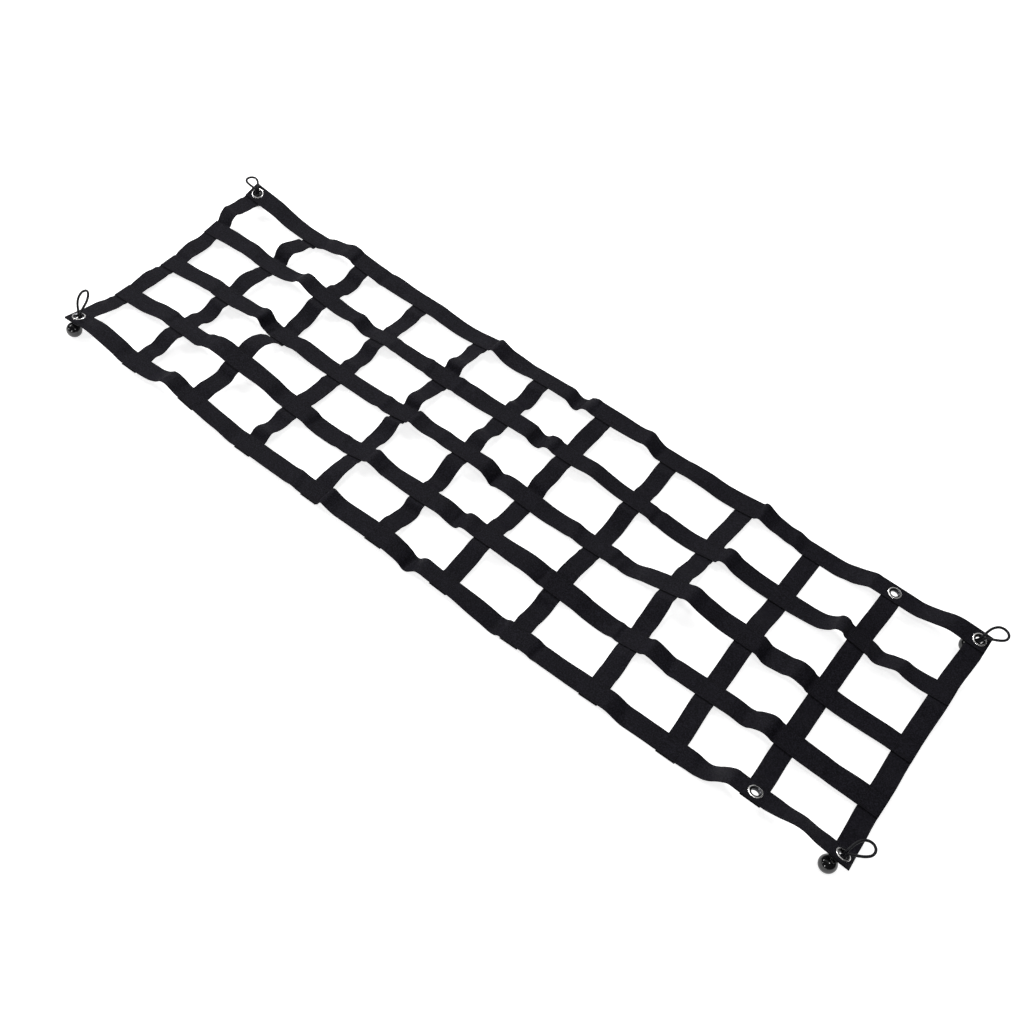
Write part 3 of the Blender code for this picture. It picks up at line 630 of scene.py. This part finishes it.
def ripple(name, lengths):
    """A slow uneven wave along a strap, from -1 to 1, its own for each strap."""
    phase = sum(ord(letter) * (k + 3) for k, letter in enumerate(name))
    return sum(height * np.sin(lengths / reach + share * phase) for height, reach, share in RIPPLE_WAVES)


def creases_of(node):
    """The creases of a strap, from the tables above."""
    number = int(node.split("_")[-1])
    if node.startswith("strap_long"):
        return LONG_CREASES[number]
    return [Crease(place, heights[number - 1], SHOULDER_WIDTH, SHOULDER_LEAN[number - 1])
            for place, heights in CROSS_SHOULDERS]


def crease_lift(creases, place, share):
    """How far a strap's creases lift it, at a place along it and a share of its half width."""
    lift = 0
    for crease in creases:
        away = (place / MM - crease.place - crease.lean * share) / crease.width
        lift += crease.height * math.exp(-away**2)
    return CREASE_DEPTH * MM * lift


def make_strap(node, along, material):
    """One strap of webbing on the folds of its solid. Returns it and its crossings' patches."""
    creases = creases_of(node)
    edges, slack, patches = fine_sections(strap_sections(node, along, 1 - along))
    centres = edges.mean(axis=1)
    width = np.linalg.norm(edges[:, 1] - edges[:, 0], axis=1)
    sideways = (edges[:, 1] - edges[:, 0]) / width[:, None]
    forward = np.gradient(centres, axis=0)
    upward = np.cross(forward, sideways) if along == 0 else np.cross(sideways, forward)
    upward /= np.linalg.norm(upward, axis=1)[:, None]
    lengths = np.concatenate([[0], np.cumsum(np.linalg.norm(np.diff(centres, axis=0), axis=1))])

    wave_near = WAVE_HEIGHT * slack * ripple(node, lengths)
    wave_far = WAVE_HEIGHT * slack * ripple(node + "far", lengths)
    cup = CUP_HEIGHT * slack * ripple(node + "cup", lengths / 4)
    from_end = np.minimum(lengths, lengths[-1] - lengths)
    thin = np.interp(from_end, *zip(*CUT_PROFILE))

    lifts = [slack[k] * crease_lift(creases, centre[along], 0) for k, centre in enumerate(centres)]
    middle_line = centres + upward * np.array(lifts)[:, None]
    flat_length = float(np.linalg.norm(np.diff(middle_line, axis=0), axis=1).sum())

    points, cloth, wear = [], [], []
    for k, centre in enumerate(centres):
        half = width[k] / 2
        for share, rise in STRAP_PROFILE:
            u = share * half
            lift = (wave_far[k] if share > 0 else wave_near[k]) * share**2 + cup[k] * (1 - share**2)
            lift += slack[k] * crease_lift(creases, centre[along], share)
            v = rise * thin[k] * WEBBING_THICKNESS / 2 + lift
            point = centre + sideways[k] * u + upward[k] * v
            points.append((point[0], point[1], max(point[2], FLOOR_CLEARANCE)))
            cloth.append((u, lengths[k]))
            # The first number places the painted edge highlight and painted side shade, the second the
            # melted cut end.
            wear.append((abs(share), max(0, 1 - from_end[k] / CUT_REACH)))
    n_ring = len(STRAP_PROFILE)
    faces = grid_faces(len(centres), n_ring)
    for row, turned in ((0, True), (len(centres) - 1, False)):
        base = row * n_ring
        for k in range(n_ring // 2 - 1):
            quad = (base + k, base + k + 1, base + n_ring - k - 2, base + n_ring - k - 1)
            faces.append(quad if turned else quad[::-1])
    strap = new_mesh_object("webbing_" + node[len("strap_"):], points, faces, material)
    add_uv(strap, "cloth", cloth)
    add_uv(strap, "wear", wear)
    tidy_normals(strap)
    return strap, patches, (float(width.mean()), flat_length)


def tidy_normals(piece):
    """Turn all the faces of a closed mesh outwards."""
    shape = bmesh.new()
    shape.from_mesh(piece.data)
    bmesh.ops.recalc_face_normals(shape, faces=shape.faces)
    shape.to_mesh(piece.data)
    shape.free()


def cut_hole(strap, centre, axis):
    """Cut an eyelet's round hole through a strap."""
    shape = bmesh.new()
    place = Matrix.Translation(centre) @ axis.to_track_quat("Z", "Y").to_matrix().to_4x4()
    bmesh.ops.create_cone(shape, cap_ends=True, segments=HOLE_SIDES, radius1=WEBBING_HOLE_RADIUS,
                          radius2=WEBBING_HOLE_RADIUS, depth=PUNCH_DEPTH, matrix=place)
    mesh = bpy.data.meshes.new("punch")
    shape.to_mesh(mesh)
    shape.free()
    punch = bpy.data.objects.new("punch", mesh)
    bpy.context.scene.collection.objects.link(punch)
    cut = strap.modifiers.new("hole", "BOOLEAN")
    cut.object = punch
    cut.operation = "DIFFERENCE"
    cut.solver = "EXACT"
    cut_mesh = bpy.data.meshes.new_from_object(strap.evaluated_get(bpy.context.evaluated_depsgraph_get()))
    strap.modifiers.clear()
    strap.data = cut_mesh
    bpy.data.objects.remove(punch)
    bpy.data.meshes.remove(mesh)


# ---- stitching ---------------------------------------------------------------------------------------
def stitch(points, faces, start, end, outward):
    """One stitch: a short arched length of thread that dips into the cloth at both ends."""
    along = end - start
    side = outward.cross(along).normalized()
    first = len(points)
    points.append(start - outward * THREAD_RADIUS * STITCH_DIP)
    for share, rise, size in STITCH_ARCH:
        middle = start + along * share + outward * rise * THREAD_RADIUS
        for k in range(THREAD_SIDES):
            turn = 2 * math.pi * k / THREAD_SIDES
            points.append(middle + THREAD_RADIUS * size * (side * math.cos(turn) + outward * math.sin(turn)))
    points.append(end - outward * THREAD_RADIUS * STITCH_DIP)
    last = len(points) - 1
    n_bands = len(STITCH_ARCH) - 1
    for k in range(THREAD_SIDES):
        beside = (k + 1) % THREAD_SIDES
        faces.append((first, first + 1 + beside, first + 1 + k))
        for band in range(n_bands):
            base = first + 1 + band * THREAD_SIDES
            faces.append((base + k, base + beside, base + THREAD_SIDES + beside, base + THREAD_SIDES + k))
        base = first + 1 + n_bands * THREAD_SIDES
        faces.append((base + k, base + beside, last))


def make_stitching(strap, patches, along, upper, material):
    """The sewn squares on a strap's outer face, at every crossing, in one piece."""
    points, faces = [], []
    for near, far in patches:
        corners = [Vector(corner) for corner in (near[0], near[1], far[1], far[0])]
        centre = sum(corners, Vector()) / 4
        forward = (corners[2] + corners[3] - corners[0] - corners[1]).normalized()
        sideways = (corners[1] + corners[2] - corners[0] - corners[3]).normalized()
        upward = (forward.cross(sideways) if along == 0 else sideways.cross(forward)).normalized()
        outward = upward if upper else -upward
        face = centre + outward * WEBBING_THICKNESS / 2
        square = [face + STITCH_BOX * (forward * a + sideways * b) for a, b in SQUARE]
        for k, start in enumerate(square):
            end = square[(k + 1) % len(square)]
            n_stitches = round((end - start).length / STITCH_PITCH)
            step = (end - start) / n_stitches
            for j in range(n_stitches):
                place = start + step * (j + 0.5)
                half = step.normalized() * STITCH_LENGTH / 2
                stitch(points, faces, place - half, place + half, outward)
    points = [(point.x, point.y, max(point.z, FLOOR_CLEARANCE)) for point in points]
    stitching = new_mesh_object("stitching_" + strap.name[len("webbing_"):], points, faces, material)
    tidy_normals(stitching)
    return stitching


# ---- turned pieces -----------------------------------------------------------------------------------
def turned(name, section, closed, centre, axis, sides, material):
    """A section of (radius, height) pairs turned round an axis."""
    place = Matrix.Translation(centre) @ axis.to_track_quat("Z", "Y").to_matrix().to_4x4()
    points = []
    for radius, height in section:
        for k in range(sides):
            turn = 2 * math.pi * k / sides
            points.append(place @ Vector((radius * math.cos(turn), radius * math.sin(turn), height)))
    faces = grid_faces(len(section), sides, close_rows=closed)
    piece = new_mesh_object(name, points, faces, material)
    shape = bmesh.new()
    shape.from_mesh(piece.data)
    bmesh.ops.remove_doubles(shape, verts=shape.verts, dist=MERGE_DISTANCE)
    bmesh.ops.recalc_face_normals(shape, faces=shape.faces)
    shape.to_mesh(piece.data)
    shape.free()
    return piece


def rounded_ring(section, pieces):
    """A closed section with more points on a smooth curve through its own."""
    points = [Vector((radius, height, 0)) for radius, height in section]
    n = len(points)
    out = []
    for i in range(n):
        before, start, end, after = points[i - 1], points[i], points[(i + 1) % n], points[(i + 2) % n]
        for k in range(pieces):
            point = curve_point(before, start, end, after, k / pieces)
            out.append((point.x, point.y))
    return out


def make_eyelet(corner, material):
    """An eyelet with rolled edges, with the distance from its axis as a UV map that places its painted inner
    shade.
    """
    centre, axis = eyelet_place(corner)
    section = [(radius * MM, height * MM) for radius, height in rounded_ring(EYELET_SECTION, 2)]
    grommet = turned(f"grommet_{corner}", section, True, centre, axis, EYELET_SIDES, material)
    from_axis = [(vert.co - centre).cross(axis).length for vert in grommet.data.vertices]
    add_uv(grommet, "wear", [(radius / EYELET_FLANGE_RADIUS, 0) for radius in from_axis])
    return grommet


def make_ball(corner, centre, axis, material):
    """A moulded ball with a rounded mouth that faces the eyelet, and a fine moulding line."""
    mouth_angle = math.asin((BALL_MOUTH_RADIUS + BALL_LIP) / BALL_RADIUS)
    section = []
    for k in range(BALL_SIDES // 2 + 1):
        angle = math.pi - (math.pi - mouth_angle) * k / (BALL_SIDES // 2)
        height = BALL_RADIUS * math.cos(angle)
        seam = BALL_SEAM * max(0, 1 - abs(height - BALL_SEAM_HEIGHT) / BALL_SEAM_WIDTH)
        radius = (BALL_RADIUS + seam) * math.sin(angle)
        section.append((radius, height))
    for step in BALL_SEAM_STEPS:
        height = BALL_SEAM_HEIGHT + step * BALL_SEAM_WIDTH
        section.append((math.sqrt(BALL_RADIUS**2 - height**2), height))
    section.append((math.sqrt(BALL_RADIUS**2 - BALL_SEAM_HEIGHT**2) + BALL_SEAM, BALL_SEAM_HEIGHT))
    section.sort(key=lambda pair: pair[1])
    top = BALL_RADIUS * math.cos(mouth_angle)
    for turn in BALL_LIP_TURNS:
        angle = math.radians(turn)
        drop = BALL_LIP * BALL_LIP_DROP if turn == BALL_LIP_TURNS[-1] else 0
        section.append((BALL_MOUTH_RADIUS + BALL_LIP * (1 - math.sin(angle)),
                        top + BALL_LIP * BALL_LIP_RISE * (1 - math.cos(angle)) - drop))
    for share, depth in BALL_MOUTH_SECTION:
        section.append((BALL_MOUTH_RADIUS * share, top - BALL_RECESS * depth))
    section[0] = (0, section[0][1])
    return turned(f"toggle_{corner}", section, False, centre, axis, BALL_SIDES, material)


# ---- bungee cords ------------------------------------------------------------------------------------
def loop_points(spec, centre):
    """The points that a bungee's cord runs through, from the ball up round its loop and back."""
    eye, normal = eyelet_place(spec.corner)
    turn = math.radians(spec.heading)
    heading = Vector((math.cos(turn), math.sin(turn), 0))
    side = Vector((-heading.y, heading.x, 0))
    bearing = eye + (heading - normal * heading.dot(normal)).normalized() * spec.bearing * MM
    axis = (eye - centre).normalized()
    mouth = centre + axis * (math.sqrt(BALL_RADIUS**2 - BALL_MOUTH_RADIUS**2) + CLEARANCE)
    mouth_side = (side - axis * side.dot(axis)).normalized()
    half = [
        (mouth - axis * (CORD_INSIDE + CLEARANCE), mouth_side * CORD_SPACING),
        (mouth, mouth_side * CORD_SPACING),
        (mouth + axis * CORD_STRAIGHT, mouth_side * CORD_SPACING),
        (bearing - normal * CORD_BELOW_SEAM, side * CORD_SPACING),
        (bearing + normal * CORD_ABOVE_SEAM, side * CORD_SPACING),
    ]
    for point in LOOP_SHAPES[spec.shape]:
        middle = eye + heading * point.along * spec.reach * MM
        middle.z += point.height * MM
        half.append((middle, side * point.aside * spec.width / 2 * MM))
    left = [middle + offset for middle, offset in half]
    right = [middle - offset for middle, offset in half[:-1]]
    return left + right[::-1]


def braid_height(turn, along):
    """How far a braided cover stands out, from 0 to 1, by turn round the cord and length along it."""
    pitch = 2 * math.pi * CORD_RADIUS / BRAID_STRANDS
    right = BRAID_STRANDS * turn + along / pitch
    left = BRAID_STRANDS * turn - along / pitch
    over = right if (math.floor(right) + math.floor(left)) % 2 == 0 else left
    return abs(math.sin(math.pi * over))


def make_cord(corner, path, material):
    """A braided cord along a path of points, with closed ends."""
    side = (path[1] - path[0]).orthogonal().normalized()
    points, faces, cloth = [], [], []
    along = 0
    for k, centre in enumerate(path):
        forward = (path[min(k + 1, len(path) - 1)] - path[max(k - 1, 0)]).normalized()
        side = (side - forward * side.dot(forward)).normalized()
        other = forward.cross(side)
        if k:
            along += (centre - path[k - 1]).length
        for j in range(CORD_SIDES):
            share = j / CORD_SIDES
            relief = braid_height(share, along)
            radius = BRAID_RADIUS + BRAID_RELIEF * (relief - BRAID_MIDDLE)
            turn = 2 * math.pi * share
            points.append(centre + radius * (side * math.cos(turn) + other * math.sin(turn)))
            cloth.append((relief, along))
    faces = grid_faces(len(path), CORD_SIDES)
    faces.append(tuple(reversed(range(CORD_SIDES))))
    faces.append(tuple(range(len(points) - CORD_SIDES, len(points))))
    cord = new_mesh_object(f"bungee_{corner}", points, faces, material)
    add_uv(cord, "cloth", cloth)
    tidy_normals(cord)
    return cord, along


def make_bungee(spec, cord_material, ball_material):
    """A ball and its cord, on their body and in place of their solids."""
    centre = ball_centre(spec.corner)
    eye, _ = eyelet_place(spec.corner)
    ball = make_ball(spec.corner, centre, (eye - centre).normalized(), ball_material)
    path = along_curve(loop_points(spec, centre), CORD_FINE_STEP)
    cord, length = make_cord(spec.corner, path, cord_material)
    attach(ball, "root")
    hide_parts(f"ball_{spec.corner}")
    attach(cord, "root")
    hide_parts(f"loop_{spec.corner}")


# ---- floor and light ---------------------------------------------------------------------------------
def make_floor():
    """A flat square, just under the net."""
    corners = [(FLOOR_HALF * a, FLOOR_HALF * b, FLOOR_DROP) for a, b in SQUARE]
    floor = new_mesh_object("floor", corners, [(0, 1, 2, 3)], floor_material(), smooth=False)
    return floor


def make_lamps():
    """Square soft lights, all turned to the middle of the net."""
    for lamp in LAMPS:
        data = bpy.data.lights.new(lamp.name, "AREA")
        data.energy = lamp.power
        data.size = lamp.side
        light = bpy.data.objects.new(lamp.name, data)
        place = Vector(lamp.place)
        light.matrix_world = Matrix.Translation(place) @ place.to_track_quat("Z", "Y").to_matrix().to_4x4()
        bpy.context.scene.collection.objects.link(light)


def make_world():
    """A studio with a soft bright ceiling, pale behind the floor's edge."""
    world = bpy.data.worlds.new("world")
    world.use_nodes = True
    nodes = world.node_tree.nodes
    towards = nodes.new("ShaderNodeVectorMath")
    towards.operation = "DOT_PRODUCT"
    towards.inputs[1].default_value = Vector(CEILING_WAY).normalized()
    strength = nodes.new("ShaderNodeMapRange")
    strength.interpolation_type = "SMOOTHSTEP"
    for name, number in zip(RANGE_SOCKETS, (*CEILING_EDGE, CEILING_DIM, CEILING_BRIGHT)):
        strength.inputs[name].default_value = number
    link = world.node_tree.links.new
    link(nodes.new("ShaderNodeTexCoord").outputs["Generated"], towards.inputs[0])
    link(towards.outputs["Value"], strength.inputs["Value"])
    backdrop = nodes.new("ShaderNodeMath")
    backdrop.operation = "MAXIMUM"
    link(strength.outputs["Result"], backdrop.inputs[0])
    link(nodes.new("ShaderNodeLightPath").outputs["Is Camera Ray"], backdrop.inputs[1])
    link(backdrop.outputs["Value"], nodes["Background"].inputs["Strength"])
    nodes["Background"].inputs["Color"].default_value = (*WHITE, 1)
    bpy.context.scene.world = world
    bpy.context.scene.view_settings.view_transform = "Standard"


# ---- the scene ---------------------------------------------------------------------------------------
make_camera()
bungee_cover = bungee_material()
gloss = gloss_material()
for bungee in BUNGEES:
    make_bungee(bungee, bungee_cover, gloss)

webbing = webbing_material()
thread = thread_material()
nickel = nickel_material()
corners = [bungee.corner for bungee in BUNGEES] + list(OPEN_EYELETS)
holes = [eyelet_place(corner) for corner in corners]

floor = make_floor()
cross_straps = []
for number in range(1, N_CROSS + 1):
    cross_straps.append(make_strap(f"strap_cross_{number:02d}", 1, webbing))
long_straps = []
for number in range(1, N_LONG + 1):
    long_straps.append(make_strap(f"strap_long_{number}", 0, webbing))
cross_names = [strap.name for strap, _, _ in cross_straps]
for straps, upper, rests_on in ((cross_straps, False, [floor.name]), (long_straps, True, cross_names)):
    for strap, patches, flat in straps:
        node = "strap_" + strap.name[len("webbing_"):]
        stitching = make_stitching(strap, patches, 0 if upper else 1, upper, thread)
        for centre, axis in holes:
            low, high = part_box(node)
            if all(low[k] < centre[k] < high[k] for k in (0, 1)):
                cut_hole(strap, centre, axis)
        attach(strap, "root")
        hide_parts(node)
        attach(stitching, "root")

for corner in corners:
    grommet = make_eyelet(corner, nickel)
    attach(grommet, "root")
    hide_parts(f"eyelet_{corner}")

make_lamps()
make_world()
